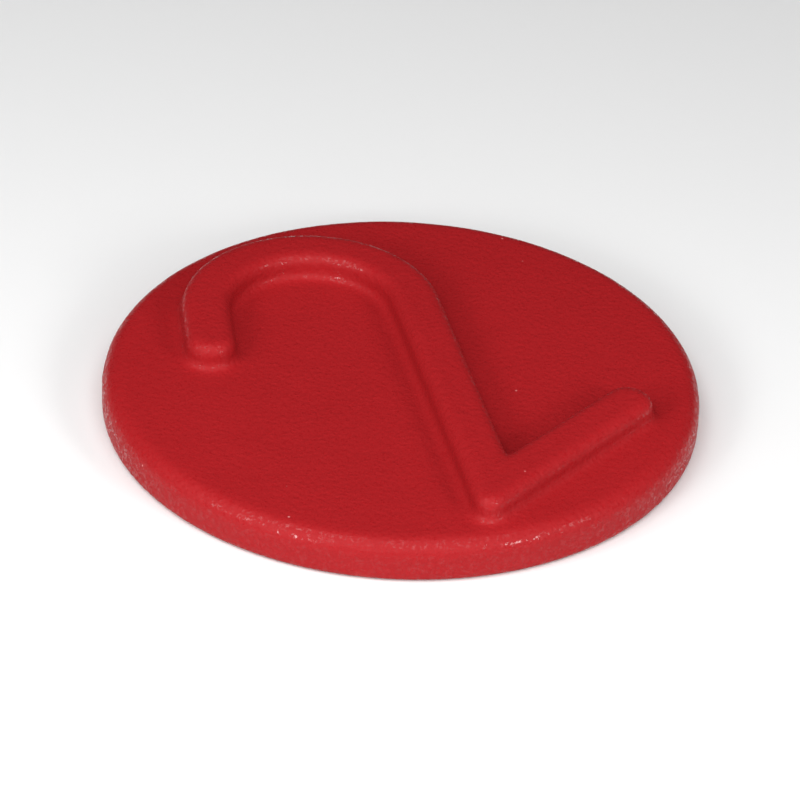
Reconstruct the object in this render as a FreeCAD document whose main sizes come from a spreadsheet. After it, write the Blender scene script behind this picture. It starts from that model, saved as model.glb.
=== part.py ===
"""Weighted numbered disc: a steel disc with a numeral bent from flat bar, dipped in soft red vinyl.

Frame: +Z up, +X along the numeral's foot, +Y towards the numeral's top. The origin is the centre
of the flat underside. All lengths are in millimetres and all angles in degrees.

Inside, a round steel plate carries two flat bars laid flat on it: one bent into the hook and stem
of the figure, one straight for its foot. They are tacked to the plate and welded to each other at
the corner. A wire pin in the plate's rim holds the work while it is dipped. One continuous vinyl
skin then covers everything, and it settles into soft fillets where the bars meet the plate.
"""
import FreeCAD, Part
import math
import os

import Sketcher

V = FreeCAD.Vector

# Driving dimensions: alias, value, meaning.
SIZES = [
    ("disc_diameter", 150.0, "outside diameter of the coated disc"),
    ("disc_height", 11.0, "thickness of the coated disc without the numeral"),
    ("top_edge_radius", 5.2, "rounding of the disc's upper edge"),
    ("bottom_edge_radius", 1.5, "rounding of the disc's lower edge"),
    ("skin", 2.25, "thickness of the vinyl skin"),
    ("crown_radius", 2.5, "rounding of the numeral's upper edges"),
    ("root_radius", 1.75, "fillet where the numeral meets the disc"),
    ("bar_width", 8.0, "width of the flat bar"),
    ("bar_height", 6.35, "thickness of the flat bar, and so the numeral's relief"),
    ("bar_corner", 1.0, "rounding of the bar's cut ends"),
    ("nose_radius", 1.5, "rounding of the foot bar's pointed end"),
    ("foot_line", 53.0, "distance from the disc's centre down to the foot bar's centre line"),
    ("foot_end", 28.0, "distance from the disc's centre across to the foot bar's free end"),
    ("stem_angle", 53.6, "angle between the foot and the stem"),
    ("hook_across", 1.9, "centre of the hook's bend, along X"),
    ("hook_up", 31.9, "centre of the hook's bend, along Y"),
    ("hook_radius", 26.9, "bend radius of the hook at the bar's centre line"),
    ("hook_end_angle", 137.0, "angle at which the bend runs out into the straight leg"),
    ("leg_length", 18.5, "straight leg after the bend"),
    ("groove_depth", 2.0, "depth of the weld groove between the bars, half its width too"),
    ("tack_size", 1.8, "leg of a tack weld"),
    ("tack_length", 7.0, "length of a tack weld"),
    ("deburr_radius", 0.5, "rounding of the plate's lower edge"),
    ("pin_radius", 1.0, "radius of the dipping pin"),
    ("pin_depth", 8.0, "depth of the pin's hole in the plate's rim"),
    ("pin_level", 5.0, "height of the pin above the underside"),
    ("pin_bearing", 129.0, "direction of the dipping pin from the disc's centre"),
]
SIZE = {alias: value for alias, value, _ in SIZES}

# Middles of the tack welds: heights on the stem, positions along the foot, bearings on the bend.
STEM_TACKS = (-4.0, -30.0)
FOOT_TACKS_BELOW = (-16.0, 4.0, 21.0)
FOOT_TACKS_ABOVE = (0.0, 18.0)
BEND_TACKS_OUTSIDE = (105.0, 55.0)
BEND_TACKS_INSIDE = (85.0, 20.0)

# How close two places must be to count as one, and the least height of an upright edge.
NEAR = 0.01
UPRIGHT_LEAST = 1.0


def bind(thing, path, formula):
    """Ties a property to a formula of the sheet's cells, written with their bare names."""
    words = formula.replace("(", "( ").replace(")", " )").split()
    tied = [f"sizes.{word}" if word in SIZE else word for word in words]
    thing.setExpression(path, " ".join(tied))


def make_sheet(doc):
    """Writes the driving dimensions into the spreadsheet."""
    sheet = doc.addObject("Spreadsheet::Sheet", "sizes")
    for row, (alias, value, meaning) in enumerate(SIZES, start=1):
        sheet.set(f"A{row}", meaning)
        sheet.set(f"B{row}", str(value))
        sheet.setAlias(f"B{row}", alias)
    doc.recompute()


def new_body(doc, label):
    body = doc.addObject("PartDesign::Body", label)
    body.Label = label
    return body


def origin_plane(body, role):
    return next(item for item in body.Origin.OriginFeatures if item.Role == role)


def new_sketch(body, name, role):
    """Adds a sketch on one of the body's own origin planes."""
    sketch = body.newObject("Sketcher::SketchObject", name)
    sketch.AttachmentSupport = [(origin_plane(body, role), "")]
    sketch.MapMode = "FlatFace"
    return sketch


def add_line(sketch, start, end):
    return sketch.addGeometry(Part.LineSegment(V(*start, 0), V(*end, 0)), False)


def add_arc(sketch, centre, radius, start_angle, end_angle):
    circle = Part.Circle(V(*centre, 0), V(0, 0, 1), radius)
    arc = Part.ArcOfCircle(circle, math.radians(start_angle), math.radians(end_angle))
    return sketch.addGeometry(arc, False)


def dimension(sketch, name, formula, *constraint):
    """Adds a named dimension and ties it to the sheet."""
    index = sketch.addConstraint(Sketcher.Constraint(*constraint))
    sketch.renameConstraint(index, name)
    bind(sketch, f"Constraints.{name}", formula)


def join(sketch, kind, *ends):
    sketch.addConstraint(Sketcher.Constraint(kind, *ends))


def turned(length, angle):
    """A step of a given length in the direction of an angle."""
    return (length * math.cos(math.radians(angle)), length * math.sin(math.radians(angle)))


def shifted(point, step):
    return (point[0] + step[0], point[1] + step[1])


def on_stem(side, height):
    """The point of a line parallel to the stem at a given height.

    side is the line's distance from the stem's centre line, positive on the hook's outside.
    """
    centre = (SIZE["hook_across"], SIZE["hook_up"])
    stem = SIZE["stem_angle"]
    foot = shifted(centre, turned(SIZE["hook_radius"] + side, stem - 90))
    run = (height - foot[1]) / math.sin(math.radians(stem))
    return shifted(foot, turned(run, stem))


def draw_hook(sketch, grow, grow_formula, left_low, right_low):
    """Draws leg, bend and stem as two parallel sides joined across the leg's end.

    grow is added to the bar all round. left_low and right_low are the heights at which the two
    sides of the stem start. Returns the two stem sides, whose first points are left open.
    """
    half = SIZE["bar_width"] / 2 + grow
    centre = (SIZE["hook_across"], SIZE["hook_up"])
    radius = SIZE["hook_radius"]
    low_angle = SIZE["stem_angle"] - 90
    high_angle = SIZE["hook_end_angle"]
    leg = SIZE["leg_length"] + grow

    def side_lines(side, low):
        bend_start = shifted(centre, turned(radius + side, low_angle))
        bend_end = shifted(centre, turned(radius + side, high_angle))
        leg_end = shifted(bend_end, turned(leg, high_angle + 90))
        stem = add_line(sketch, on_stem(side, low), bend_start)
        bend = add_arc(sketch, centre, radius + side, low_angle, high_angle)
        run = add_line(sketch, leg_end, bend_end)
        join(sketch, "Tangent", stem, 2, bend, 1)
        join(sketch, "Tangent", bend, 2, run, 2)
        return stem, bend, run, leg_end

    right, outer, leg_outer, outer_end = side_lines(half, right_low)
    left, inner, leg_inner, inner_end = side_lines(-half, left_low)
    across = add_line(sketch, inner_end, outer_end)
    join(sketch, "Coincident", leg_inner, 1, across, 1)
    join(sketch, "Coincident", leg_outer, 1, across, 2)
    join(sketch, "Coincident", inner, 3, outer, 3)
    join(sketch, "Parallel", left, right)
    join(sketch, "Parallel", leg_inner, leg_outer)
    join(sketch, "Perpendicular", leg_outer, across)
    dimension(sketch, "bend_across", "hook_across", "DistanceX", -1, 1, outer, 3, centre[0])
    dimension(sketch, "bend_up", "hook_up", "DistanceY", -1, 1, outer, 3, centre[1])
    outer_formula = f"hook_radius + bar_width / 2 + {grow_formula}"
    inner_formula = f"hook_radius - bar_width / 2 - {grow_formula}"
    dimension(sketch, "outer_bend", outer_formula, "Radius", outer, radius + half)
    dimension(sketch, "inner_bend", inner_formula, "Radius", inner, radius - half)
    stem_turn = math.radians(SIZE["stem_angle"])
    leg_turn = math.radians(high_angle - 90)
    dimension(sketch, "stem_turn", "stem_angle * 1 deg", "Angle", right, stem_turn)
    dimension(sketch, "leg_turn", "( hook_end_angle - 90 ) * 1 deg", "Angle", leg_outer, leg_turn)
    dimension(sketch, "leg_run", f"leg_length + {grow_formula}", "Distance", leg_outer, leg)
    return left, right


def draw_foot(sketch, grow, grow_formula, left_start, right_start):
    """Draws the foot's lower side, free end and upper side, and returns the two sides."""
    half = SIZE["bar_width"] / 2 + grow
    low = -SIZE["foot_line"] - half
    high = -SIZE["foot_line"] + half
    end = SIZE["foot_end"] + grow
    lower = add_line(sketch, left_start, (end, low))
    free_end = add_line(sketch, (end, low), (end, high))
    upper = add_line(sketch, right_start, (end, high))
    join(sketch, "Coincident", lower, 2, free_end, 1)
    join(sketch, "Coincident", free_end, 2, upper, 2)
    join(sketch, "Horizontal", lower)
    join(sketch, "Horizontal", upper)
    join(sketch, "Vertical", free_end)
    low_formula = f"foot_line + bar_width / 2 + {grow_formula}"
    high_formula = f"foot_line - bar_width / 2 - {grow_formula}"
    dimension(sketch, "foot_low", low_formula, "DistanceY", lower, 1, -1, 1, -low)
    dimension(sketch, "foot_high", high_formula, "DistanceY", upper, 1, -1, 1, -high)
    dimension(sketch, "foot_tip", f"foot_end + {grow_formula}", "DistanceX", -1, 1, free_end, 1, end)
    return lower, upper


def draw_nose(sketch, grow, grow_formula, left, lower):
    """Rounds the corner between the stem's left side and the foot's lower side."""
    radius = SIZE["nose_radius"] + grow
    nose = add_arc(sketch, nose_centre(grow), radius, SIZE["stem_angle"] + 90, 270)
    join(sketch, "Tangent", left, 1, nose, 1)
    join(sketch, "Tangent", nose, 2, lower, 1)
    dimension(sketch, "nose", f"nose_radius + {grow_formula}", "Radius", nose, radius)


def nose_centre(grow):
    """The centre of the rounded corner at the foot's pointed end, which growing leaves in place."""
    inset = SIZE["nose_radius"] - SIZE["bar_width"] / 2
    return on_stem(inset, -SIZE["foot_line"] + inset)


def nose_start(grow):
    return shifted(nose_centre(grow), turned(SIZE["nose_radius"] + grow, SIZE["stem_angle"] + 90))


def pad(body, sketch, name, formula):
    feature = body.newObject("PartDesign::Pad", name)
    feature.Profile = sketch
    bind(feature, "Length", formula)
    body.Document.recompute()
    return feature


def picked(feature, test):
    """The names of a feature's edges that pass a test."""
    edges = enumerate(feature.Shape.Edges, start=1)
    names = [f"Edge{number}" for number, edge in edges if test(edge)]
    if not names:
        raise RuntimeError(f"{feature.Name}: no edge picked")
    return names


def round_edges(body, base, name, test, formula):
    """Rounds the edges of a feature that a test picks, with a radius from the sheet."""
    feature = body.newObject("PartDesign::Fillet", name)
    feature.Base = (base, picked(base, test))
    bind(feature, "Radius", formula)
    body.Document.recompute()
    return feature


def is_upright(edge):
    box = edge.BoundBox
    return box.ZLength > UPRIGHT_LEAST and box.XLength < NEAR and box.YLength < NEAR


def lies_at(edge, height):
    box = edge.BoundBox
    return abs(box.ZMin - height) < NEAR and abs(box.ZMax - height) < NEAR


def upright_near(points):
    """A test for upright edges that stand at one of the given points."""

    def test(edge):
        where = edge.BoundBox.Center
        near = any(math.hypot(where.x - x, where.y - y) < NEAR for x, y in points)
        return near and is_upright(edge)

    return test


def leg_corners(grow):
    """The two corners of the leg's free end, on the bar grown all round."""
    half = SIZE["bar_width"] / 2 + grow
    centre = (SIZE["hook_across"], SIZE["hook_up"])
    end_angle = SIZE["hook_end_angle"]
    corners = []
    for side in (half, -half):
        bend_end = shifted(centre, turned(SIZE["hook_radius"] + side, end_angle))
        corners.append(shifted(bend_end, turned(SIZE["leg_length"] + grow, end_angle + 90)))
    return corners


def foot_corners(grow):
    """The two corners of the foot's free end, on the bar grown all round."""
    half = SIZE["bar_width"] / 2 + grow
    end = SIZE["foot_end"] + grow
    return [(end, -SIZE["foot_line"] - half), (end, -SIZE["foot_line"] + half)]


def draw_disc(body, inset, inset_formula, low_radius, low_formula, high_radius, high_formula):
    """Revolves a disc with rounded edges, the coated disc's outline moved inwards by an inset."""
    radius = SIZE["disc_diameter"] / 2 - inset
    low_level = inset
    high_level = SIZE["disc_height"] - inset
    sketch = new_sketch(body, f"{body.Label}_profile", "XZ_Plane")
    low = add_line(sketch, (0, low_level), (radius - low_radius, low_level))
    low_edge = add_arc(sketch, (radius - low_radius, low_level + low_radius), low_radius, 270, 360)
    side = add_line(sketch, (radius, low_level + low_radius), (radius, high_level - high_radius))
    high_edge = add_arc(sketch, (radius - high_radius, high_level - high_radius), high_radius, 0, 90)
    high = add_line(sketch, (radius - high_radius, high_level), (0, high_level))
    axis = add_line(sketch, (0, high_level), (0, low_level))
    smooth = [low, low_edge, side, high_edge, high]
    for first, second in zip(smooth, smooth[1:]):
        join(sketch, "Tangent", first, 2, second, 1)
    join(sketch, "Coincident", high, 2, axis, 1)
    join(sketch, "Coincident", axis, 2, low, 1)
    join(sketch, "Horizontal", low)
    join(sketch, "Horizontal", high)
    join(sketch, "Vertical", side)
    join(sketch, "PointOnObject", low, 1, -2)
    join(sketch, "PointOnObject", high, 2, -2)
    radius_formula = f"disc_diameter / 2 - {inset_formula}"
    height_formula = f"disc_height - {inset_formula}"
    dimension(sketch, "radius", radius_formula, "DistanceX", -1, 1, side, 1, radius)
    dimension(sketch, "height", height_formula, "DistanceY", -1, 1, high, 2, high_level)
    if inset:
        dimension(sketch, "level", inset_formula, "DistanceY", -1, 1, low, 1, low_level)
    else:
        join(sketch, "PointOnObject", low, 2, -1)
    dimension(sketch, "low_edge", low_formula, "Radius", low_edge, low_radius)
    dimension(sketch, "high_edge", high_formula, "Radius", high_edge, high_radius)
    disc = body.newObject("PartDesign::Revolution", f"{body.Label}_disc")
    disc.Profile = sketch
    disc.ReferenceAxis = (sketch, ["V_Axis"])
    disc.Angle = 360
    body.Document.recompute()
    return disc


def make_coated_form(doc):
    """The whole outside of the piece as a solid: the disc and the numeral that stands on it."""
    body = new_body(doc, "coated_form")
    height = SIZE["disc_height"]
    draw_disc(body, 0, "0", SIZE["bottom_edge_radius"], "bottom_edge_radius",
              SIZE["top_edge_radius"], "top_edge_radius")

    skin = SIZE["skin"]
    half = SIZE["bar_width"] / 2 + skin
    foot_low = -SIZE["foot_line"] - half
    foot_high = -SIZE["foot_line"] + half
    figure = new_sketch(body, "figure_outline", "XY_Plane")
    bind(figure, "AttachmentOffset.Base.z", "disc_height")
    left, right = draw_hook(figure, skin, "skin", nose_start(skin)[1], foot_high)
    nose_end = (nose_centre(skin)[0], foot_low)
    lower, upper = draw_foot(figure, skin, "skin", nose_end, on_stem(half, foot_high))
    draw_nose(figure, skin, "skin", left, lower)
    join(figure, "Coincident", right, 1, upper, 1)
    raised = pad(body, figure, "figure", "bar_height")
    ends = upright_near(leg_corners(skin) + foot_corners(skin))
    ends_round = round_edges(body, raised, "end_corners", ends, "bar_corner + skin")

    def at_crown(edge):
        return lies_at(edge, height + SIZE["bar_height"])

    def at_root(edge):
        on_figure = edge.BoundBox.XLength < SIZE["disc_diameter"] / 2
        return lies_at(edge, height) and on_figure and edge.Length > NEAR

    crown = round_edges(body, ends_round, "crown", at_crown, "crown_radius")
    round_edges(body, crown, "root", at_root, "root_radius")
    return body


def make_core_plate(doc):
    """The steel disc that gives the piece its weight, with a blind hole in its rim for the pin."""
    body = new_body(doc, "core_plate")
    skin = SIZE["skin"]
    disc = draw_disc(body, skin, "skin", SIZE["deburr_radius"], "deburr_radius",
                     SIZE["top_edge_radius"] - skin, "top_edge_radius - skin")
    hole = body.newObject("PartDesign::SubtractiveCylinder", "pin_hole")
    bind(hole, "Radius", "pin_radius")
    bind(hole, "Height", "pin_depth")
    hole.Placement = pin_placement()
    body.Document.recompute()
    if hole.Shape.Volume >= disc.Shape.Volume:
        raise RuntimeError("pin_hole cuts nothing")
    return body


def pin_placement():
    """The bottom of the pin's hole, with +Z of the placement pointing out of the rim."""
    start = SIZE["disc_diameter"] / 2 - SIZE["skin"] - SIZE["pin_depth"]
    outward = V(*turned(1, SIZE["pin_bearing"]), 0)
    base = outward * start + V(0, 0, SIZE["pin_level"])
    return FreeCAD.Placement(base, FreeCAD.Rotation(V(0, 0, 1), outward))


def make_hanging_pin(doc):
    """The wire that the work hangs from while it is dipped, snipped off flush with the skin."""
    pin = doc.addObject("Part::Cylinder", "hanging_pin")
    bind(pin, "Radius", "pin_radius")
    bind(pin, "Height", "pin_depth + skin")
    pin.Placement = pin_placement()
    return pin


def bar_sketch(body, name):
    """A sketch at the plate's upper face, where the bars lie."""
    sketch = new_sketch(body, name, "XY_Plane")
    bind(sketch, "AttachmentOffset.Base.z", "disc_height - skin")
    return sketch


def bar_top():
    return SIZE["disc_height"] - SIZE["skin"] + SIZE["bar_height"]


def make_hook_bar(doc):
    """The flat bar bent into leg, hook and stem, cut along the foot bar's upper side."""
    body = new_body(doc, "numeral_hook_bar")
    half = SIZE["bar_width"] / 2
    seam = -SIZE["foot_line"] + half
    sketch = bar_sketch(body, "hook_outline")
    left, right = draw_hook(sketch, 0, "0", seam, seam)
    cut = add_line(sketch, on_stem(-half, seam), on_stem(half, seam))
    join(sketch, "Coincident", cut, 1, left, 1)
    join(sketch, "Coincident", cut, 2, right, 1)
    join(sketch, "Horizontal", cut)
    dimension(sketch, "seam", "foot_line - bar_width / 2", "DistanceY", cut, 1, -1, 1, -seam)
    bent = pad(body, sketch, "bent_bar", "bar_height")
    ends_round = round_edges(body, bent, "leg_corners", upright_near(leg_corners(0)), "bar_corner")

    def at_seam(edge):
        return lies_at(edge, bar_top()) and edge.BoundBox.YMax < seam + NEAR

    groove = body.newObject("PartDesign::Chamfer", "groove_side")
    groove.Base = (ends_round, picked(ends_round, at_seam))
    bind(groove, "Size", "groove_depth")
    doc.recompute()
    return body


def groove_sketch(body, name, spread):
    """A triangle across the seam: its point is at the groove's root, its base at the bars' top.

    spread is 1 for the whole groove and 0 for the half that lies in the foot bar.
    """
    seam = -SIZE["foot_line"] + SIZE["bar_width"] / 2
    depth = SIZE["groove_depth"]
    top = bar_top()
    sketch = new_sketch(body, name, "YZ_Plane")
    sketch.AttachmentOffset = FreeCAD.Placement(V(0, 0, on_stem(-SIZE["bar_width"] / 2, seam)[0]),
                                                FreeCAD.Rotation())
    points = [(seam, top - depth), (seam + spread * depth, top), (seam - depth, top)]
    sides = [add_line(sketch, start, end) for start, end in zip(points, points[1:] + points[:1])]
    for first, second in zip(sides, sides[1:] + sides[:1]):
        join(sketch, "Coincident", first, 2, second, 1)
    join(sketch, "Horizontal", sides[1])
    seam_formula = "foot_line - bar_width / 2"
    dimension(sketch, "seam", seam_formula, "DistanceX", sides[0], 1, -1, 1, -seam)
    dimension(sketch, "root", "disc_height - skin + bar_height - groove_depth", "DistanceY",
              -1, 1, sides[0], 1, top - depth)
    dimension(sketch, "depth", "groove_depth", "DistanceY", sides[0], 1, sides[0], 2, depth)
    dimension(sketch, "reach", "groove_depth", "DistanceX", sides[2], 1, sides[2], 2, depth)
    if spread:
        dimension(sketch, "spread", "groove_depth", "DistanceX", sides[0], 1, sides[0], 2, depth)
    else:
        join(sketch, "Vertical", sides[0])
    return sketch


SEAM_LENGTH = "bar_width / sin( stem_angle * 1 deg )"


def make_foot_bar(doc):
    """The straight flat bar, its left end cut in line with the stem and its point ground off."""
    body = new_body(doc, "numeral_foot_bar")
    half = SIZE["bar_width"] / 2
    seam = -SIZE["foot_line"] + half
    sketch = bar_sketch(body, "foot_outline")
    corner = on_stem(-half, seam)
    lower_start = (nose_centre(0)[0], -SIZE["foot_line"] - half)
    lower, upper = draw_foot(sketch, 0, "0", lower_start, corner)
    slant = add_line(sketch, nose_start(0), corner)
    join(sketch, "Coincident", slant, 2, upper, 1)
    draw_nose(sketch, 0, "0", slant, lower)
    bend = sketch.addGeometry(Part.Point(V(SIZE["hook_across"], SIZE["hook_up"], 0)), True)
    dimension(sketch, "bend_across", "hook_across", "DistanceX", -1, 1, bend, 1, SIZE["hook_across"])
    dimension(sketch, "bend_up", "hook_up", "DistanceY", -1, 1, bend, 1, SIZE["hook_up"])
    reach = SIZE["hook_radius"] - half
    dimension(sketch, "stem_side", "hook_radius - bar_width / 2", "Distance", bend, 1, slant, reach)
    stem_turn = math.radians(SIZE["stem_angle"])
    dimension(sketch, "stem_turn", "stem_angle * 1 deg", "Angle", slant, stem_turn)
    straight = pad(body, sketch, "straight_bar", "bar_height")
    ends = upright_near(foot_corners(0))
    ends_round = round_edges(body, straight, "foot_corners", ends, "bar_corner")
    groove = body.newObject("PartDesign::Pocket", "groove_side")
    groove.Profile = groove_sketch(body, "groove_half", 0)
    groove.Reversed = True
    bind(groove, "Length", SEAM_LENGTH)
    doc.recompute()
    if groove.Shape.Volume >= ends_round.Shape.Volume:
        raise RuntimeError("groove_side cuts nothing")
    return body


def make_corner_weld(doc):
    """The bead that fills the groove between the two bars, dressed flush with them."""
    body = new_body(doc, "corner_weld")
    pad(body, groove_sketch(body, "groove_whole", 1), "bead", SEAM_LENGTH)
    return body


def make_tack(doc, number, point, facing):
    """A straight tack: a quarter round in the corner between a bar's side and the plate.

    point is the middle of the tack at the bar's side, and facing the side's outward direction.
    """
    tack = doc.addObject("Part::Cylinder", f"tack_{number}")
    bind(tack, "Radius", "tack_size")
    bind(tack, "Height", "tack_length")
    tack.Angle = 90
    out = V(*turned(1, facing), 0)
    along = V(*turned(1, facing - 90), 0)
    start = V(*point, SIZE["disc_height"] - SIZE["skin"]) - along * (SIZE["tack_length"] / 2)
    tack.Placement = FreeCAD.Placement(start, FreeCAD.Rotation(out, V(0, 0, 1), along, "ZXY"))
    return tack


def make_bend_tack(doc, number, side, angle):
    """A tack that follows the bend: a piece of a ring with a quarter round section.

    side is 1 on the bend's outside and -1 on its inside, and angle the middle of the tack.
    """
    tack = doc.addObject("Part::Torus", f"tack_{number}")
    bind(tack, "Radius1", "hook_radius + bar_width / 2" if side > 0 else "hook_radius - bar_width / 2")
    bind(tack, "Radius2", "tack_size")
    tack.Angle1 = -90 if side > 0 else -180
    tack.Angle2 = 0 if side > 0 else -90
    radius = SIZE["hook_radius"] + side * SIZE["bar_width"] / 2
    sweep = math.degrees(SIZE["tack_length"] / radius)
    tack.Angle3 = sweep
    centre = V(SIZE["hook_across"], SIZE["hook_up"], SIZE["disc_height"] - SIZE["skin"])
    tack.Placement = FreeCAD.Placement(centre, FreeCAD.Rotation(V(0, 0, 1), angle - sweep / 2))
    return tack


def make_tack_welds(doc):
    """The tacks that hold both bars on the plate, as one group."""
    half = SIZE["bar_width"] / 2
    stem = SIZE["stem_angle"]
    leg_turn = SIZE["hook_end_angle"]
    centre = (SIZE["hook_across"], SIZE["hook_up"])
    foot_line = -SIZE["foot_line"]
    straight = []
    for side in (half, -half):
        bend_end = shifted(centre, turned(SIZE["hook_radius"] + side, leg_turn))
        middle = shifted(bend_end, turned(SIZE["leg_length"] / 2, leg_turn + 90))
        straight.append((middle, leg_turn if side > 0 else leg_turn + 180))
    for height in STEM_TACKS:
        straight.append((on_stem(half, height), stem - 90))
        straight.append((on_stem(-half, height), stem + 90))
    for across in FOOT_TACKS_BELOW:
        straight.append(((across, foot_line - half), 270))
    for across in FOOT_TACKS_ABOVE:
        straight.append(((across, foot_line + half), 90))
    bends = [(1, bearing) for bearing in BEND_TACKS_OUTSIDE]
    bends += [(-1, bearing) for bearing in BEND_TACKS_INSIDE]
    tacks = [make_tack(doc, number, *place) for number, place in enumerate(straight, start=1)]
    for number, place in enumerate(bends, start=len(tacks) + 1):
        tacks.append(make_bend_tack(doc, number, *place))
    group = doc.addObject("Part::Compound", "tack_welds")
    group.Links = tacks
    return group


def make_coating(doc, form, inside):
    """The vinyl skin: the coated form less everything that it encloses."""
    core = doc.addObject("Part::MultiFuse", "steelwork")
    core.Shapes = inside
    skin = doc.addObject("Part::Cut", "vinyl_coating")
    skin.Base = form
    skin.Tool = core
    return skin


def check(doc, nodes):
    """Stops the script if any object failed to build or any sub-part isn't a sound solid."""
    for item in doc.Objects:
        if {"Invalid", "Error"} & set(item.State):
            raise RuntimeError(f"{item.Name} failed: {item.State}")
    for node in nodes:
        shape = node.Shape
        if shape.isNull() or not shape.isValid() or not shape.Solids:
            raise RuntimeError(f"{node.Label} has no sound solid")
        print(f"{node.Label}: {len(shape.Solids)} solid(s), {shape.Volume:.0f} mm3")


def main():
    doc = FreeCAD.newDocument("numbered_disc")
    make_sheet(doc)
    form = make_coated_form(doc)
    inside = [
        make_core_plate(doc),
        make_hook_bar(doc),
        make_foot_bar(doc),
        make_corner_weld(doc),
        make_tack_welds(doc),
        make_hanging_pin(doc),
    ]
    nodes = inside + [make_coating(doc, form, inside)]
    doc.recompute()
    check(doc, nodes)
    os.makedirs("parts", exist_ok=True)
    for node in nodes:
        node.Shape.exportStep(f"parts/{node.Label}.step")


main()
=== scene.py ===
"""Looks of the weighted numbered disc: its red vinyl skin, the steel it holds and the studio.

Everything is in metres in the part's own frame: +Z up, +X along the numeral's foot, +Y towards the
numeral's top, and the origin in the middle of the flat underside.
"""
import logging
import math
from dataclasses import dataclass, field
from enum import Enum
from typing import Any, Callable, Union

import bmesh
import bpy
from mathutils import Matrix, Vector


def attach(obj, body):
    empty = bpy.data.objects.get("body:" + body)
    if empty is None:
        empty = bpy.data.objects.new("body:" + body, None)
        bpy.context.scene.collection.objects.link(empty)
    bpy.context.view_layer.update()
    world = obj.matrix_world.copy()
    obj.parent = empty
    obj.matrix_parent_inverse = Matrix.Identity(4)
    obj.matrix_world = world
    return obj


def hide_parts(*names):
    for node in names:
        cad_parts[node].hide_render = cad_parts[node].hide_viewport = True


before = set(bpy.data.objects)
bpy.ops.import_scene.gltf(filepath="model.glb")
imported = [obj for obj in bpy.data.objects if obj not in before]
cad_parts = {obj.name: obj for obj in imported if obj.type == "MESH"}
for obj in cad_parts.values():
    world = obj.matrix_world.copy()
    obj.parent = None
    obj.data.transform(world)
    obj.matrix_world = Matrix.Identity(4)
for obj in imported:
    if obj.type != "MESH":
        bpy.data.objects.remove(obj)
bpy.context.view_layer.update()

LOG = logging.getLogger("numbered_disc")
MM = 0.001
WELD = 0.01 * MM
Test = Callable[[Any], bool]
Number = Union[float, "Wire"]


class Pick(Enum):
    """What is picked on a mesh."""

    VERT = "verts"
    EDGE = "edges"
    FACE = "faces"


class Steel(Enum):
    """How a steel piece was made, which decides the marks on it."""

    GROUND = "ground"
    DRAWN = "drawn"
    BEAD = "bead"
    WIRE = "wire"


# ---------------------------------------------------------------- shading


class Wire:
    """A socket that can be used in sums: each operator adds the Math node that it needs."""

    def __init__(self, graph: "Graph", socket: bpy.types.NodeSocket) -> None:
        """Keeps the socket and the graph it belongs to."""
        self.graph = graph
        self.socket = socket

    def _math(self, operation: str, *values: Number, clamp: bool = False) -> "Wire":
        """Adds a Math node and returns its result."""
        settings = {"operation": operation, "use_clamp": clamp}
        inputs = dict(enumerate(values))
        return self.graph.node("ShaderNodeMath", settings, inputs)

    def __add__(self, other: Number) -> "Wire":
        """self + other."""
        return self._math("ADD", self, other)

    def __radd__(self, other: Number) -> "Wire":
        """other + self."""
        return self._math("ADD", other, self)

    def __sub__(self, other: Number) -> "Wire":
        """self - other."""
        return self._math("SUBTRACT", self, other)

    def __rsub__(self, other: Number) -> "Wire":
        """other - self."""
        return self._math("SUBTRACT", other, self)

    def __mul__(self, other: Number) -> "Wire":
        """self * other."""
        return self._math("MULTIPLY", self, other)

    def __rmul__(self, other: Number) -> "Wire":
        """other * self."""
        return self._math("MULTIPLY", other, self)

    def between(self, low: float, high: float) -> "Wire":
        """A smooth step: 0 below low and 1 above high.

        Args:
            low: The value at which the step starts.
            high: The value at which it ends; it may be below low, which turns the step round.

        Returns:
            The step's value.
        """
        settings = {"interpolation_type": "SMOOTHSTEP"}
        inputs = {"Value": self, "From Min": low, "From Max": high}
        return self.graph.node("ShaderNodeMapRange", settings, inputs)


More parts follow.
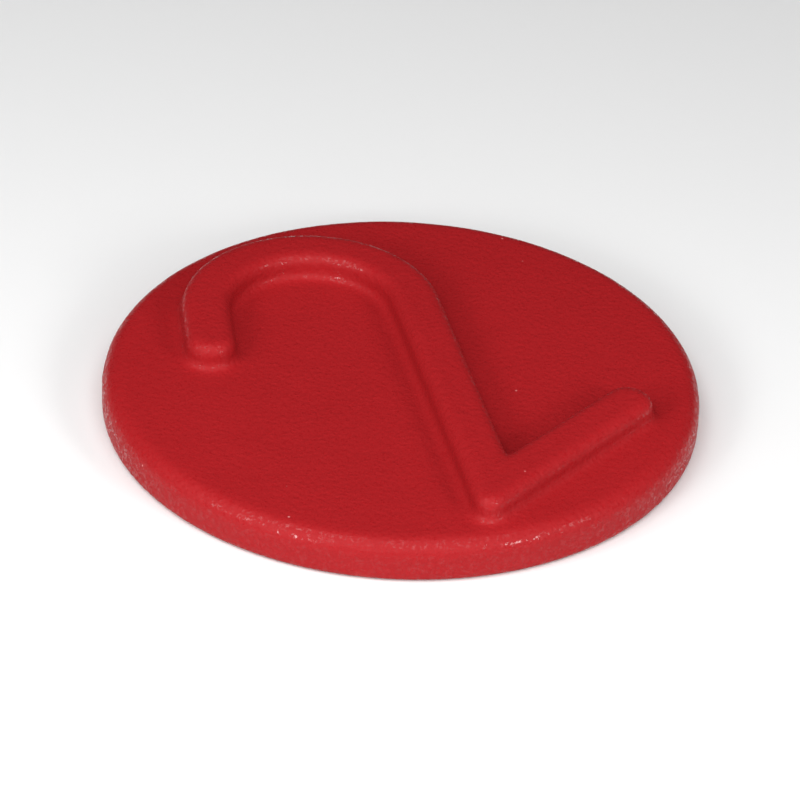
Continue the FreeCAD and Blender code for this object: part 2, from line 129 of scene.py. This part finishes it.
class Graph:
    """The node graph of one material."""

    def __init__(self, name: str) -> None:
        """Makes an empty material with a Principled shader on its output."""
        self.material = bpy.data.materials.new(name)
        self.material.use_nodes = True
        self.tree = self.material.node_tree
        self.tree.nodes.clear()
        output = self.tree.nodes.new("ShaderNodeOutputMaterial")
        self.shader = self.tree.nodes.new("ShaderNodeBsdfPrincipled")
        self.tree.links.new(self.shader.outputs[0], output.inputs["Surface"])
        self.place = self.node("ShaderNodeTexCoord", output="Object")

    def node(self, kind: str, settings: dict[str, Any] | None = None,
             inputs: dict[Any, Any] | None = None, output: Any = 0) -> Wire:
        """Adds any node.

        Args:
            kind: The node's type.
            settings: The node's own properties, which are set first.
            inputs: Socket name or number to a value or a wire.
            output: Name or number of the socket to return.

        Returns:
            The chosen output.
        """
        node = self.tree.nodes.new(kind)
        for name, value in (settings or {}).items():
            setattr(node, name, value)
        for name, value in (inputs or {}).items():
            self.feed(node.inputs[name], value)
        return Wire(self, node.outputs[output])

    def feed(self, socket: bpy.types.NodeSocket, value: Any) -> None:
        """Sets a socket to a value, or links a wire to it."""
        if isinstance(value, Wire):
            self.tree.links.new(value.socket, socket)
        else:
            socket.default_value = value

    def stretched(self, scale: tuple[float, float, float]) -> Wire:
        """The place on the piece, multiplied along each axis."""
        settings = {"operation": "MULTIPLY"}
        return self.node("ShaderNodeVectorMath", settings, {0: self.place, 1: scale})

    def noise(self, scale: float, detail: float = 3.0, at: Wire | None = None) -> Wire:
        """Cloudy noise around 0.5; scale is in cells a metre."""
        inputs = {"Vector": at or self.place, "Scale": scale, "Detail": detail}
        return self.node("ShaderNodeTexNoise", {"noise_dimensions": "3D"}, inputs)

    def cells(self, scale: float, feature: str, output: str = "Distance",
              at: Wire | None = None) -> Wire:
        """Cells around scattered points; scale is in cells a metre."""
        inputs = {"Vector": at or self.place, "Scale": scale}
        settings = {"voronoi_dimensions": "3D", "feature": feature}
        return self.node("ShaderNodeTexVoronoi", settings, inputs, output)

    def blend(self, amount: Number, first: Any, second: Any) -> Wire:
        """A colour between first and second."""
        settings = {"data_type": "RGBA", "clamp_factor": True}
        return self.node("ShaderNodeMix", settings, {0: amount, 6: first, 7: second}, 2)

    def bump(self, height: Wire, depth: float, strength: float = 1.0,
             over: Wire | None = None) -> Wire:
        """A normal bent by a height.

        Args:
            height: The height, from 0 to 1.
            depth: How deep a height of 1 is, in metres.
            strength: How much of the effect is used.
            over: A normal to bend further.

        Returns:
            The bent normal.
        """
        inputs = {"Height": height, "Distance": depth, "Strength": strength}
        if over:
            inputs["Normal"] = over
        return self.node("ShaderNodeBump", None, inputs)

    def finish(self, **values: Any) -> bpy.types.Material:
        """Sets the Principled shader's sockets, whose names are written with underscores."""
        for name, value in values.items():
            self.feed(self.shader.inputs[name.replace("_", " ")], value)
        return self.material


def rgba(red: float, green: float, blue: float) -> tuple[float, float, float, float]:
    """An opaque colour."""
    return (red, green, blue, 1.0)


@dataclass(frozen=True)
class VinylFinish:
    """Soft dipped vinyl: one red, a pebbly grain and a satin shine; patterns are in cells a metre."""

    colour: tuple = rgba(0.348, 0.0112, 0.0142)
    deep: tuple = rgba(0.334, 0.0106, 0.0134)
    chalk: tuple = rgba(0.60, 0.120, 0.115)
    # Painted highlight: the pale pink of tiny glints, painted into the colour as specks
    painted_glint_colour: tuple = rgba(0.80, 0.330, 0.320)
    specular: float = 0.12
    coat: float = 0.4
    roughness: float = 0.55
    gleam_roughness: float = 0.12
    unevenness: float = 0.10
    rub_roughness: float = 0.12
    chalk_amount: float = 0.35
    painted_glint_amount: float = 0.6
    pebbles: float = 820.0
    pebble_depth: float = 0.16 * MM
    grain: float = 2300.0
    grain_depth: float = 0.020 * MM
    swell: float = 75.0
    swell_depth: float = 0.12 * MM
    drift: float = 220.0
    bending: float = 400.0
    bend_reach: float = 1.2 * MM
    curls: float = 900.0
    painted_glint_cells: float = 210.0
    scuffs: float = 140.0
    scuff_top: float = 2.2 * MM
    scuff_foot: float = 0.2 * MM
    mottling: float = 34.0
    satin_clouds: float = 500.0

    def material(self) -> bpy.types.Material:
        """Builds the material."""
        graph = Graph("red_vinyl")
        bent = self._bent(graph)
        rub = self._rub(graph)
        gleam = self._gleam(graph, bent)
        clouds = graph.noise(self.satin_clouds, 2.0) - 0.5
        satin = self.roughness + self.unevenness * clouds + self.rub_roughness * rub
        satin = satin * (1.0 - gleam) + self.gleam_roughness * gleam
        return graph.finish(Base_Color=self._tint(graph, rub), Roughness=satin,
                            Normal=self._relief(graph, bent), IOR=1.5,
                            Specular_IOR_Level=self.specular, Coat_Weight=self.coat * gleam,
                            Coat_Roughness=self.gleam_roughness)

    def _bent(self, graph: Graph) -> Wire:
        """The place on the piece, pushed about a little so that no pattern runs straight."""
        inputs = {"Vector": graph.place, "Scale": self.bending, "Detail": 1.0}
        warp = graph.node("ShaderNodeTexNoise", None, inputs, "Color")
        return graph.node("ShaderNodeVectorMath", {"operation": "MULTIPLY_ADD"},
                          {0: warp, 1: (self.bend_reach,) * 3, 2: graph.place})

    def _relief(self, graph: Graph, bent: Wire) -> Wire:
        """The normal over swells, pebbles and fine grain."""
        pebble = 1.0 - graph.cells(self.pebbles, "SMOOTH_F1", at=bent)
        pebble = pebble * (0.55 + 0.9 * graph.noise(self.drift, 2.0))
        normal = graph.bump(graph.noise(self.swell, 2.0), self.swell_depth)
        normal = graph.bump(pebble, self.pebble_depth, over=normal)
        return graph.bump(graph.noise(self.grain, 3.0), self.grain_depth, over=normal)

    def _rub(self, graph: Graph) -> Wire:
        """Where the foot of the rim has been rubbed."""
        height = graph.node("ShaderNodeSeparateXYZ", None, {0: graph.place}, "Z")
        low = height.between(self.scuff_top, self.scuff_foot)
        return graph.noise(self.scuffs, 6.0).between(0.52, 0.70) * low

    def _gleam(self, graph: Graph, bent: Wire) -> Wire:
        """Where the skin is glossier: short curls along the noise's middle level, in patches."""
        curl = graph.noise(self.curls, 2.0, at=bent)
        off = graph.node("ShaderNodeMath", {"operation": "ABSOLUTE"}, {0: curl - 0.5})
        patches = graph.noise(self.curls, 1.0).between(0.44, 0.54)
        return (1.0 - off).between(0.940, 0.980) * patches

    def _tint(self, graph: Graph, rub: Wire) -> Wire:
        """The red, faintly mottled, chalky where rubbed and with a few pale pink specks of painted
        highlight.
        """
        mottle = graph.noise(self.mottling, 4.0).between(0.30, 0.72)
        tint = graph.blend(mottle, self.deep, self.colour)
        tint = graph.blend(self.chalk_amount * rub, tint, self.chalk)
        # Painted highlights: sparse pale pink specks painted into the red, standing in for tiny
        # glints on the grain
        dot = graph.cells(self.painted_glint_cells, "F1").between(0.075, 0.045)
        chosen = graph.cells(self.painted_glint_cells, "F1", "Color")
        draw = graph.node("ShaderNodeSeparateColor", None, {0: chosen}, 0)
        return graph.blend(self.painted_glint_amount * dot * draw.between(0.93, 0.95), tint, self.painted_glint_colour)


@dataclass(frozen=True)
class SteelFinish:
    """Bare steel under the vinyl, with the marks of how each piece was made."""

    name: str
    kind: Steel
    colour: tuple = rgba(0.36, 0.36, 0.37)
    dark: tuple = rgba(0.20, 0.195, 0.19)
    tint: tuple = rgba(0.22, 0.15, 0.10)
    roughness: float = 0.38

    def material(self) -> bpy.types.Material:
        """Builds the material."""
        graph = Graph(self.name)
        patch = graph.noise(60.0, 5.0).between(0.35, 0.70)
        if self.kind is Steel.GROUND:
            marks = graph.noise(1.0, 4.0, graph.stretched((60.0, 2600.0, 2600.0)))
        elif self.kind is Steel.DRAWN:
            marks = graph.noise(1.0, 3.0, graph.stretched((500.0, 500.0, 4200.0)))
        elif self.kind is Steel.BEAD:
            marks = graph.node("ShaderNodeTexWave", {"bands_direction": "X"},
                               {"Vector": graph.place, "Scale": 260.0, "Distortion": 4.0}, "Fac")
        else:
            marks = graph.cells(5200.0, "F1")
        tint = graph.blend(0.55 * marks, self.colour, self.dark)
        heat = 0.5 * patch if self.kind is Steel.BEAD else 0.18 * patch
        tint = graph.blend(heat, tint, self.tint)
        satin = self.roughness + 0.18 * marks
        normal = graph.bump(marks, 0.03 * MM)
        return graph.finish(Base_Color=tint, Roughness=satin, Metallic=1.0, Normal=normal)


@dataclass(frozen=True)
class PaperFinish:
    """The pale seamless paper that the disc lies on."""

    colour: tuple = rgba(0.86, 0.86, 0.86)

    def material(self) -> bpy.types.Material:
        """Builds the material."""
        graph = Graph("pale_paper")
        return graph.finish(Base_Color=self.colour, Roughness=0.95, Specular_IOR_Level=0.1)


# ---------------------------------------------------------------- modelling


class Bench:
    """A mesh under work, shaped with the modelling operators."""

    def __init__(self, name: str) -> None:
        """Takes the primitive that was added last and names it."""
        self.piece = bpy.context.object
        self.piece.name = name
        self.piece.data.name = name
        bpy.ops.object.transform_apply(location=True, rotation=True, scale=True)
        self.edit()

    @staticmethod
    def clear() -> None:
        """Leaves edit mode and deselects everything."""
        if bpy.context.object and bpy.context.object.mode != "OBJECT":
            bpy.ops.object.mode_set(mode="OBJECT")
        bpy.ops.object.select_all(action="DESELECT")

    def edit(self) -> None:
        """Opens this mesh alone in edit mode."""
        self.clear()
        self.piece.select_set(True)
        bpy.context.view_layer.objects.active = self.piece
        bpy.ops.object.mode_set(mode="EDIT")

    def done(self) -> bpy.types.Object:
        """Leaves edit mode and returns the piece."""
        self.clear()
        self.piece.select_set(True)
        bpy.context.view_layer.objects.active = self.piece
        return self.piece

    def pick(self, kind: Pick, test: Test) -> int:
        """Selects what passes a test, and nothing else.

        Args:
            kind: Whether vertices, edges or faces are tested.
            test: The test.

        Returns:
            How many were selected.
        """
        bpy.ops.mesh.select_mode(type=kind.name)
        bpy.ops.mesh.select_all(action="DESELECT")
        mesh = bmesh.from_edit_mesh(self.piece.data)
        mesh.normal_update()
        chosen = [item for item in getattr(mesh, kind.value) if test(item)]
        for item in chosen:
            item.select_set(True)
        mesh.select_flush_mode()
        bmesh.update_edit_mesh(self.piece.data)
        if not chosen:
            raise RuntimeError(f"{self.piece.name}: nothing picked")
        return len(chosen)

    def move(self, step: Vector) -> None:
        """Moves what is selected."""
        bpy.ops.transform.translate(value=step)

    def extrude(self, step: Vector) -> None:
        """Extrudes what is selected by a step."""
        bpy.ops.mesh.extrude_region_move(TRANSFORM_OT_translate={"value": step})

    def flatten_x(self, across: float) -> None:
        """Brings what is selected onto one plane across X."""
        bpy.ops.transform.resize(value=(0.0, 1.0, 1.0), center_override=(across, 0.0, 0.0),
                                 orient_type="GLOBAL")

    def bevel(self, offset: float, segments: int, affect: str = "EDGES") -> None:
        """Rounds the selected edges or corners."""
        bpy.ops.mesh.bevel(offset_type="OFFSET", offset=offset, segments=segments,
                           affect=affect, clamp_overlap=False)


def both(edge: bmesh.types.BMEdge, test: Callable[[Vector], bool]) -> bool:
    """Whether both ends of an edge pass a test of their place."""
    return all(test(vert.co) for vert in edge.verts)


def heading(angle: float) -> Vector:
    """The horizontal direction at an angle in degrees."""
    return Vector((math.cos(math.radians(angle)), math.sin(math.radians(angle)), 0.0))


@dataclass
class NumeralForm:
    """The raised numeral as coated: leg, hook, stem and foot of one even width."""

    bend_centre: Vector = field(default_factory=lambda: Vector((1.9, 31.9, 0.0)) * MM)
    bend_radius: float = 26.9 * MM
    stem_angle: float = 53.6
    bend_end: float = 137.0
    leg: float = 20.75 * MM
    foot_line: float = -53.0 * MM
    foot_end: float = 30.25 * MM
    half: float = 6.25 * MM
    deck: float = 11.0 * MM
    relief: float = 6.35 * MM
    joint_run: float = 22.0 * MM
    end_round: float = 5.7 * MM
    nose_round: float = 9.2 * MM
    crown: float = 3.0 * MM
    root: float = 1.9 * MM
    bend_steps: int = 48
    end_steps: int = 8
    nose_steps: int = 14
    lengths: tuple = ((50.0 * MM, 90.0 * MM, 12), (30.0 * MM, 38.0 * MM, 4),
                      (20.0 * MM, 21.5 * MM, 1))
    snap: float = 0.02 * MM

    @property
    def top(self) -> float:
        """Height of the numeral's flat top."""
        return self.deck + self.relief

    @property
    def stem_way(self) -> Vector:
        """Direction up the stem."""
        return heading(self.stem_angle)

    @property
    def side_way(self) -> Vector:
        """Direction from the stem to its right."""
        return heading(self.stem_angle - 90.0)

    @property
    def bend_start(self) -> Vector:
        """Where the stem runs into the bend, on the centre line."""
        return self.bend_centre + self.side_way * self.bend_radius

    @property
    def joint(self) -> Vector:
        """Where the centre lines of stem and foot meet."""
        start = self.bend_start
        run = (start.y - self.foot_line) / self.stem_way.y
        return start - self.stem_way * run

    def corner(self, side: float) -> Vector:
        """Where a line beside the stem meets the line as far beside the foot."""
        reach = side / math.tan(math.radians(self.stem_angle / 2.0))
        return self.joint + self.side_way * side + self.stem_way * reach

    def build(self) -> Bench:
        """Builds the numeral's top and walls as one open shell."""
        lift = Vector((0.0, 0.0, self.top))
        middle = self.joint + self.stem_way * (self.joint_run / 2.0)
        Bench.clear()
        bpy.ops.mesh.primitive_plane_add(size=1.0, location=middle + lift,
                                         rotation=(0.0, 0.0, math.radians(self.stem_angle)))
        bpy.context.object.scale = (self.joint_run, 2.0 * self.half, 1.0)
        bench = Bench("numeral")
        for side in (-self.half, self.half):
            start = self.joint + self.side_way * side + lift
            bench.pick(Pick.VERT, lambda vert: (vert.co - start).length < self.snap)
            bench.move(self.corner(side) + lift - start)
        self._run_stem(bench, lift)
        self._run_foot(bench, lift)
        self._divide(bench)
        self._round_corners(bench)
        bench.pick(Pick.EDGE, lambda edge: edge.is_boundary)
        bench.extrude(Vector((0.0, 0.0, -self.relief)))
        return bench

    def _run_stem(self, bench: Bench, lift: Vector) -> None:
        """Extrudes stem, bend and leg from the joint."""
        at = self.joint + self.stem_way * self.joint_run
        self._pick_across(bench, at, self.stem_way)
        bench.extrude(self.bend_start - at)
        self._pick_across(bench, self.bend_start, self.stem_way)
        sweep = self.bend_end - (self.stem_angle - 90.0)
        bpy.ops.mesh.spin(steps=self.bend_steps, angle=-math.radians(sweep),
                          center=self.bend_centre + lift, axis=(0.0, 0.0, 1.0))
        end = self.bend_centre + heading(self.bend_end) * self.bend_radius
        way = heading(self.bend_end + 90.0)
        self._pick_across(bench, end, way)
        bench.extrude(way * self.leg)

    def _pick_across(self, bench: Bench, at: Vector, way: Vector) -> None:
        """Selects the one edge that crosses the run at a point."""

        def crosses(edge: bmesh.types.BMEdge) -> bool:
            middle = (edge.verts[0].co + edge.verts[1].co) / 2.0
            flat = Vector((middle.x - at.x, middle.y - at.y))
            return flat.length < self.half / 4.0 and both(
                edge, lambda co: abs((co - at).dot(way)) < self.snap)

        bench.pick(Pick.EDGE, crosses)

    def _run_foot(self, bench: Bench, lift: Vector) -> None:
        """Extrudes the foot from the mitred joint."""
        ends = [self.corner(side) + lift for side in (-self.half, self.half)]
        bench.pick(Pick.EDGE, lambda edge: both(
            edge, lambda co: min((co - end).length for end in ends) < self.snap))
        near = self.joint.x + self.joint_run
        bench.extrude(Vector((near - self.corner(self.half).x, 0.0, 0.0)))
        bench.flatten_x(near)
        bench.extrude(Vector((self.foot_end - near, 0.0, 0.0)))

    def _divide(self, bench: Bench) -> None:
        """Cuts the long straight runs into shorter lengths."""
        for shortest, longest, cuts in self.lengths:

            def long_run(edge: bmesh.types.BMEdge) -> bool:
                fits = shortest < edge.calc_length() < longest
                touches = any((vert.co.xy - self.corner(side).xy).length < self.snap
                              for vert in edge.verts for side in (-self.half, self.half))
                return fits and not touches

            bench.pick(Pick.EDGE, long_run)
            bpy.ops.mesh.subdivide(number_cuts=cuts)

    def _round_corners(self, bench: Bench) -> None:
        """Rounds the flat outline at both free ends and at the nose."""
        leg_end = self.bend_centre + heading(self.bend_end) * self.bend_radius
        leg_end += heading(self.bend_end + 90.0) * self.leg
        ends = [leg_end + heading(self.bend_end) * side for side in (-self.half, self.half)]
        ends += [Vector((self.foot_end, self.foot_line + side, 0.0))
                 for side in (-self.half, self.half)]
        self._round_outline(bench, ends, self.end_round, self.end_steps)
        mitre = [self.corner(side) for side in (-self.half, self.half)]
        bench.pick(Pick.EDGE, lambda edge: both(edge, lambda co: self._near(co, mitre)))
        bpy.ops.mesh.dissolve_edges(use_verts=False)
        self._round_outline(bench, mitre[:1], self.nose_round, self.nose_steps)

    def _near(self, co: Vector, places: list[Vector]) -> bool:
        """Whether a point lies over or under one of the places."""
        return min((co.xy - place.xy).length for place in places) < self.snap

    def _round_outline(self, bench: Bench, places: list[Vector], offset: float,
                       segments: int) -> None:
        """Rounds the outline's corners at the given places, cutting offset off each side."""
        bench.pick(Pick.VERT, lambda vert: self._near(vert.co, places))
        bench.bevel(offset, segments, "VERTICES")


@dataclass
class Coating:
    """The vinyl skin: disc, rim and numeral in one closed surface."""

    numeral: NumeralForm = field(default_factory=NumeralForm)
    radius: float = 75.0 * MM
    height: float = 11.0 * MM
    rim: float = 4.6 * MM
    rim_steps: int = 16
    low_rim: float = 1.5 * MM
    low_rim_steps: int = 6
    crown_steps: int = 10
    root_steps: int = 7
    around: int = 288
    deck_radius: float = 69.75 * MM
    apron: float = 1.80 * MM
    mesh_size: float = 0.76 * MM
    melting: int = 8
    drips: tuple = ((129.0, 5.0 * MM, 1.9 * MM, 0.45 * MM),
                    (81.0, 3.4 * MM, 1.6 * MM, 0.40 * MM),
                    (-126.0, 2.4 * MM, 1.7 * MM, 0.42 * MM))
    ripple_length: float = 11.0 * MM
    ripple_depth: float = 0.16 * MM
    snap: float = 0.02 * MM

    def build(self) -> bpy.types.Object:
        """Builds the skin and dresses it."""
        figure = self.numeral.build().done()
        Bench.clear()
        bpy.ops.mesh.primitive_circle_add(vertices=self.around, radius=self.deck_radius,
                                          location=(0.0, 0.0, self.height))
        bench = self._joined("deck", figure, bpy.context.object)
        self._close_deck(bench)
        self._round_figure(bench)
        bench = self._joined("vinyl_skin", bench.done(), self._disc())
        self._close()
        bench = self._joined("vinyl_skin", *self._drips(), bench.done())
        piece = bench.done()
        self._melt(piece)
        self._ripple(piece)
        bpy.ops.object.shade_smooth()
        piece.data.materials.clear()
        piece.data.materials.append(VinylFinish().material())
        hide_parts("vinyl_coating")
        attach(piece, "root")
        return piece

    @staticmethod
    def _joined(name: str, *pieces: bpy.types.Object) -> Bench:
        """Joins meshes into one and opens it."""
        Bench.clear()
        for piece in pieces:
            piece.select_set(True)
        bpy.context.view_layer.objects.active = pieces[-1]
        bpy.ops.object.join()
        return Bench(name)

    def _disc(self) -> bpy.types.Object:
        """The disc with rounded rims and an open top."""
        Bench.clear()
        bpy.ops.mesh.primitive_cylinder_add(vertices=self.around, radius=self.radius,
                                            depth=self.height, end_fill_type="NGON",
                                            location=(0.0, 0.0, self.height / 2.0))
        bench = Bench("disc")
        high = self.height - self.snap
        bench.pick(Pick.EDGE, lambda edge: both(edge, lambda co: co.z > high))
        bench.bevel(self.rim, self.rim_steps)
        bench.pick(Pick.EDGE, lambda edge: both(edge, lambda co: co.z < self.snap))
        bench.bevel(self.low_rim, self.low_rim_steps)
        bench.pick(Pick.FACE, lambda face: len(face.verts) == self.around
                   and face.calc_center_median().z > high)
        bpy.ops.mesh.inset(thickness=self.radius - self.rim - self.deck_radius)
        bpy.ops.mesh.delete(type="FACE")
        return bench.done()

    def _on_deck(self, co: Vector) -> bool:
        """Whether a point lies at the height of the disc's top."""
        return abs(co.z - self.height) < self.snap

    def _close_deck(self, bench: Bench) -> None:
        """Lays a narrow flat apron round the numeral and fills the deck up to it."""
        bench.pick(Pick.EDGE, lambda edge: len(edge.link_faces) == 1
                   and both(edge, self._on_deck))
        bench.extrude(Vector())
        mesh = bmesh.from_edit_mesh(bench.piece.data)
        mesh.normal_update()
        steps = {vert: self._away(vert) * self.apron for vert in mesh.verts if vert.select}
        for vert, step in steps.items():
            vert.co += step
        bmesh.update_edit_mesh(bench.piece.data)
        bench.pick(Pick.EDGE, lambda edge: len(edge.link_faces) < 2
                   and both(edge, self._on_deck))
        bpy.ops.mesh.fill(use_beauty=True)

    @staticmethod
    def _away(vert: bmesh.types.BMVert) -> Vector:
        """The step from the walls over one of the apron's points, one unit away from each."""
        root = next(edge.other_vert(vert) for edge in vert.link_edges if not edge.select)
        walls = [face.normal.copy() for face in root.link_faces
                 if face.calc_area() > MM * MM * MM and abs(face.normal.z) < 0.5]
        first, last = walls[0], walls[-1]
        return (first + last) / (1.0 + first.dot(last))

    def _round_figure(self, bench: Bench) -> None:
        """Rounds the numeral's crown and fillets its root."""
        top = self.numeral.top
        bench.pick(Pick.EDGE, lambda edge: both(edge, lambda co: abs(co.z - top) < self.snap)
                   and self._turns(edge))
        bench.bevel(self.numeral.crown, self.crown_steps)
        bench.pick(Pick.EDGE, lambda edge: both(edge, self._on_deck) and self._turns(edge))
        bench.bevel(self.numeral.root, self.root_steps)

    @staticmethod
    def _turns(edge: bmesh.types.BMEdge) -> bool:
        """Whether the surface turns by a right angle along an edge."""
        return len(edge.link_faces) == 2 and edge.calc_face_angle() > math.radians(60.0)

    @staticmethod
    def _close() -> None:
        """Merges the rows of points where deck and rim meet and points every face outwards."""
        bpy.ops.mesh.select_mode(type="VERT")
        bpy.ops.mesh.select_all(action="SELECT")
        bpy.ops.mesh.remove_doubles(threshold=WELD)
        bpy.ops.mesh.normals_make_consistent(inside=False)

    def _drips(self) -> list[bpy.types.Object]:
        """The small drops that the skin dried with, the largest over the snipped pin."""
        drops = []
        for bearing, level, size, proud in self.drips:
            Bench.clear()
            place = heading(bearing) * (self.radius + proud - size)
            place.z = level
            bpy.ops.mesh.primitive_uv_sphere_add(segments=24, ring_count=12, radius=size,
                                                 location=place)
            drops.append(Bench("drop").done())
        return drops

    def _melt(self, piece: bpy.types.Object) -> None:
        """Runs everything together into one even skin and rounds it as a dip does."""
        skin = piece.modifiers.new("skin", "REMESH")
        skin.mode = "VOXEL"
        skin.voxel_size = self.mesh_size
        bpy.ops.object.modifier_apply(modifier=skin.name)
        melt = piece.modifiers.new("melt", "SMOOTH")
        melt.factor = 0.5
        melt.iterations = self.melting
        bpy.ops.object.modifier_apply(modifier=melt.name)

    def _ripple(self, piece: bpy.types.Object) -> None:
        """Makes the skin slightly uneven, as a dipped one is, and keeps its underside flat."""
        group = piece.vertex_groups.new(name="free")
        free = [vert.index for vert in piece.data.vertices if vert.co.z > self.low_rim]
        group.add(free, 1.0, "REPLACE")
        clouds = bpy.data.textures.new("dip_ripple", "CLOUDS")
        clouds.noise_scale = self.ripple_length
        ripple = piece.modifiers.new("ripple", "DISPLACE")
        ripple.texture = clouds
        ripple.vertex_group = group.name
        ripple.strength = self.ripple_depth
        bpy.ops.object.modifier_apply(modifier=ripple.name)
        piece.vertex_groups.clear()


@dataclass
class Steelwork:
    """The steel inside the skin, kept as drawn and given its finishes."""

    finishes: dict[str, SteelFinish] = field(default_factory=lambda: {
        "core_plate": SteelFinish("plate_steel", Steel.GROUND),
        "numeral_hook_bar": SteelFinish("bar_steel", Steel.DRAWN),
        "numeral_foot_bar": SteelFinish("foot_steel", Steel.DRAWN),
        "corner_weld": SteelFinish("weld_bead", Steel.BEAD),
        "tack_welds": SteelFinish("tack_bead", Steel.BEAD),
        "hanging_pin": SteelFinish("wire_steel", Steel.WIRE),
    })

    def dress(self) -> None:
        """Gives each steel piece its material."""
        for node, finish in self.finishes.items():
            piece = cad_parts[node]
            piece.data.materials.clear()
            piece.data.materials.append(finish.material())
            LOG.info("dressed %s", node)


@dataclass
class Studio:
    """Floor, lights and camera."""

    camera_bearing: float = 219.0
    camera_height: float = 33.69
    camera_roll: float = 2.98
    camera_range: float = 1.5
    aim_up: float = 2.47 * MM
    lens: float = 268.2
    sensor: float = 36.0
    world: float = 0.02
    floor_size: float = 6.0
    light_range: float = 0.9
    softboxes: tuple = ((-62.0, 32.0, 1.7, 0.30), (-36.0, 24.0, 2.4, 0.20),
                        (0.0, 36.0, 2.1, 0.80), (46.0, 24.0, 2.6, 0.20),
                        (68.0, 32.0, 1.2, 0.30), (-60.0, 58.0, 1.6, 0.50),
                        (0.0, 66.0, 5.0, 0.90))

    def build(self) -> None:
        """Sets up the whole studio."""
        self._floor()
        for number, (turn, height, power, size) in enumerate(self.softboxes, start=1):
            self._light(f"softbox_{number}", self.camera_bearing + turn, height, power, size)
        self._world()
        self._camera()
        bpy.context.scene.view_settings.view_transform = "Standard"

    def _floor(self) -> None:
        """Lays the pale paper."""
        Bench.clear()
        bpy.ops.mesh.primitive_plane_add(size=self.floor_size, location=(0.0, 0.0, 0.0))
        floor = bpy.context.object
        floor.name = "paper"
        floor.data.materials.append(PaperFinish().material())

    def _light(self, name: str, bearing: float, height: float, power: float,
               size: float) -> None:
        """Hangs a square softbox that faces the disc.

        Args:
            name: The light's name.
            bearing: Its direction from the disc, in degrees from +X.
            height: Its angle above the floor, in degrees.
            power: Its power, in watts.
            size: The length of its side, in metres.
        """
        lamp = bpy.data.lights.new(name, "AREA")
        lamp.shape = "SQUARE"
        lamp.size = size
        lamp.energy = power
        thing = bpy.data.objects.new(name, lamp)
        place = heading(bearing) * math.cos(math.radians(height))
        place.z = math.sin(math.radians(height))
        thing.location = place * self.light_range
        thing.rotation_euler = place.to_track_quat("Z", "Y").to_euler()
        bpy.context.scene.collection.objects.link(thing)

    def _world(self) -> None:
        """Fills the room with a dim even light."""
        world = bpy.data.worlds.new("room")
        world.use_nodes = True
        sky = world.node_tree.nodes["Background"]
        sky.inputs["Color"].default_value = rgba(1.0, 1.0, 1.0)
        sky.inputs["Strength"].default_value = self.world
        bpy.context.scene.world = world

    def _camera(self) -> None:
        """Places the camera."""
        out = heading(self.camera_bearing) * math.cos(math.radians(self.camera_height))
        out.z = math.sin(math.radians(self.camera_height))
        right = Vector((0.0, 0.0, 1.0)).cross(out).normalized()
        up = out.cross(right)
        roll = math.radians(self.camera_roll)
        across = right * math.cos(roll) + up * math.sin(roll)
        up = up * math.cos(roll) - right * math.sin(roll)
        data = bpy.data.cameras.new("camera")
        data.lens = self.lens
        data.sensor_width = self.sensor
        camera = bpy.data.objects.new("camera", data)
        place = out * self.camera_range + up * self.aim_up
        turn = Matrix((across, up, out)).transposed().to_4x4()
        camera.matrix_world = Matrix.Translation(place) @ turn
        bpy.context.scene.collection.objects.link(camera)
        bpy.context.scene.camera = camera


def main() -> None:
    """Builds everything in order."""
    logging.basicConfig(level=logging.INFO, format="%(name)s: %(message)s")
    skin = Coating().build()
    LOG.info("skin: %d faces", len(skin.data.polygons))
    Steelwork().dress()
    Studio().build()


if __name__ == "__main__":
    main()
